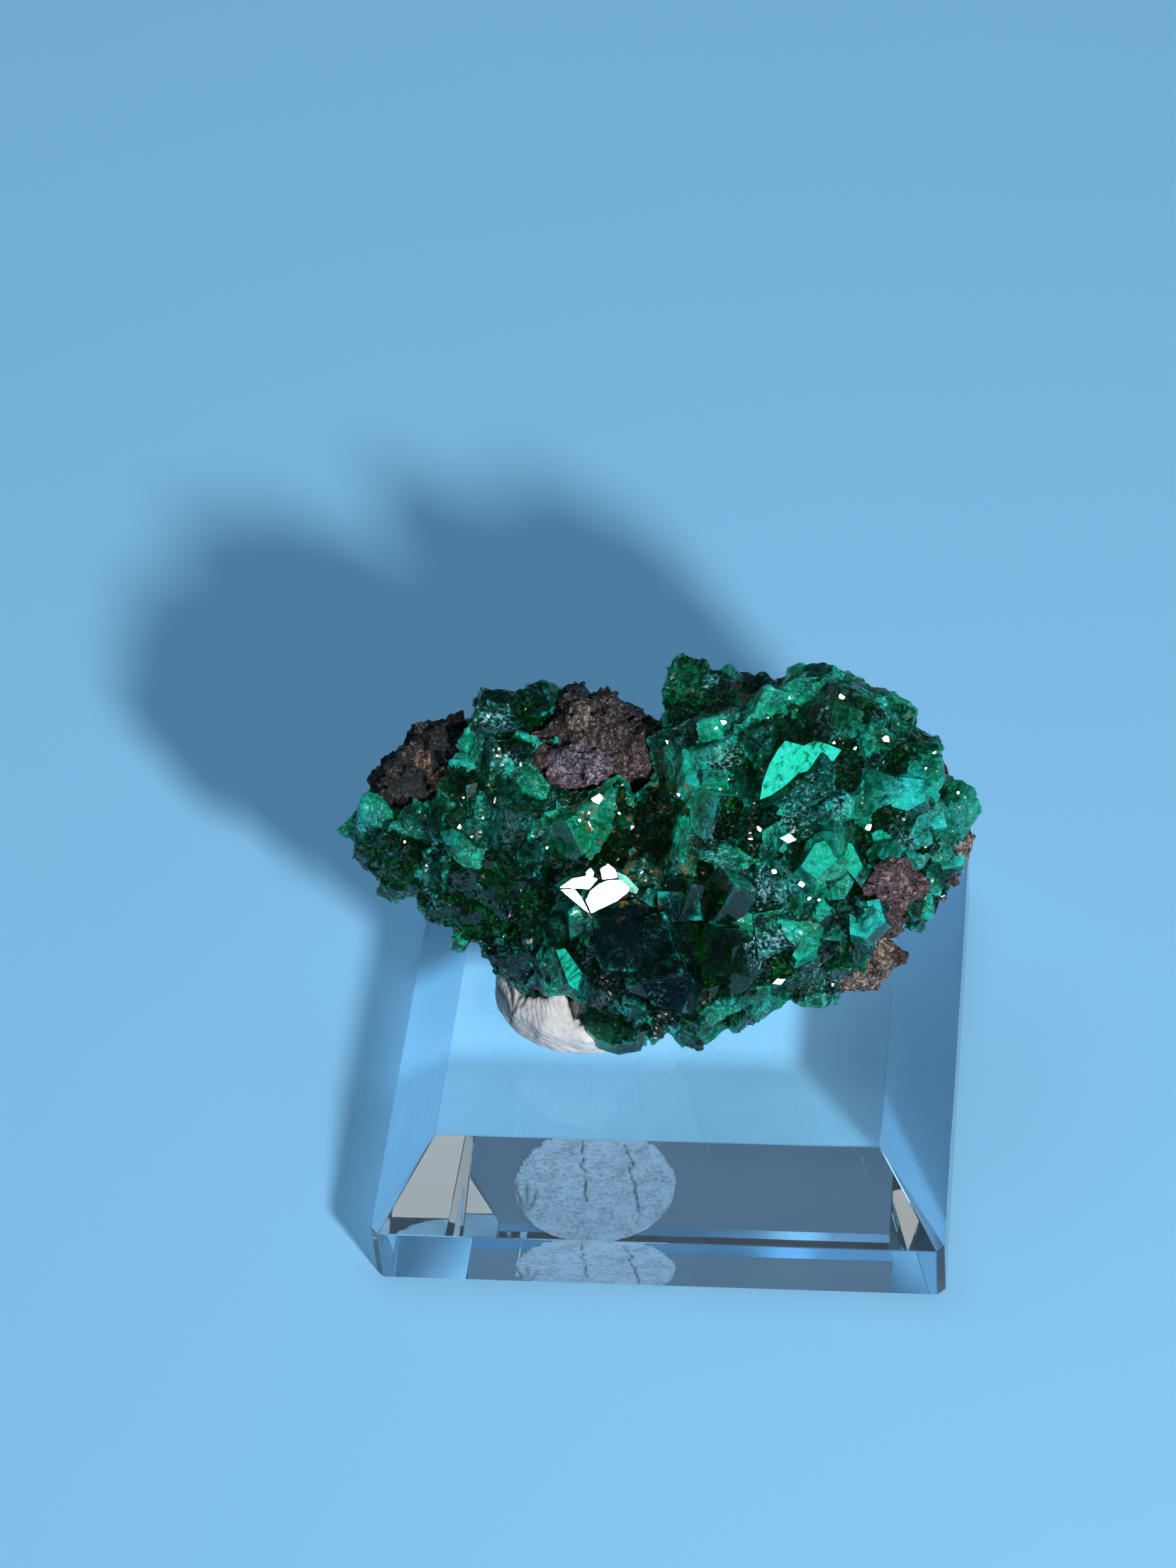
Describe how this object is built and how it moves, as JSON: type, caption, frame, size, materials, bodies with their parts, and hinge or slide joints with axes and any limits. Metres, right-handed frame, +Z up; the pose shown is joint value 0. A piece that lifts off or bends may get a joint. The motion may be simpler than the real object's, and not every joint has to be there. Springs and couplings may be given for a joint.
{
  "type": "mineral specimen on a display block",
  "caption": "Crust of dark green dioptase crystals on brown rock, held by a lump of putty on a clear acrylic block with wide bevels.",
  "frame": {"origin": "centre of the clear block's underside, on the surface that it stands on", "axes": "+Z up, -Y towards the viewer of the crystals' display face, +X to that viewer's right"},
  "size_m": [0.0574, 0.0508, 0.0431],
  "materials": {
    "acrylic_base": "clear, polished",
    "mounting_putty": "matt, hand pressed",
    "matrix_rock": "rough, iron stained",
    "dioptase_crystals": "glassy crystal faces"
  },
  "bodies": {
    "root": {"acrylic_base": "acrylic_base", "mounting_putty": "mounting_putty", "matrix_rock": "matrix_rock", "dioptase_crystals": "dioptase_crystals"}
  },
  "joints": []
}
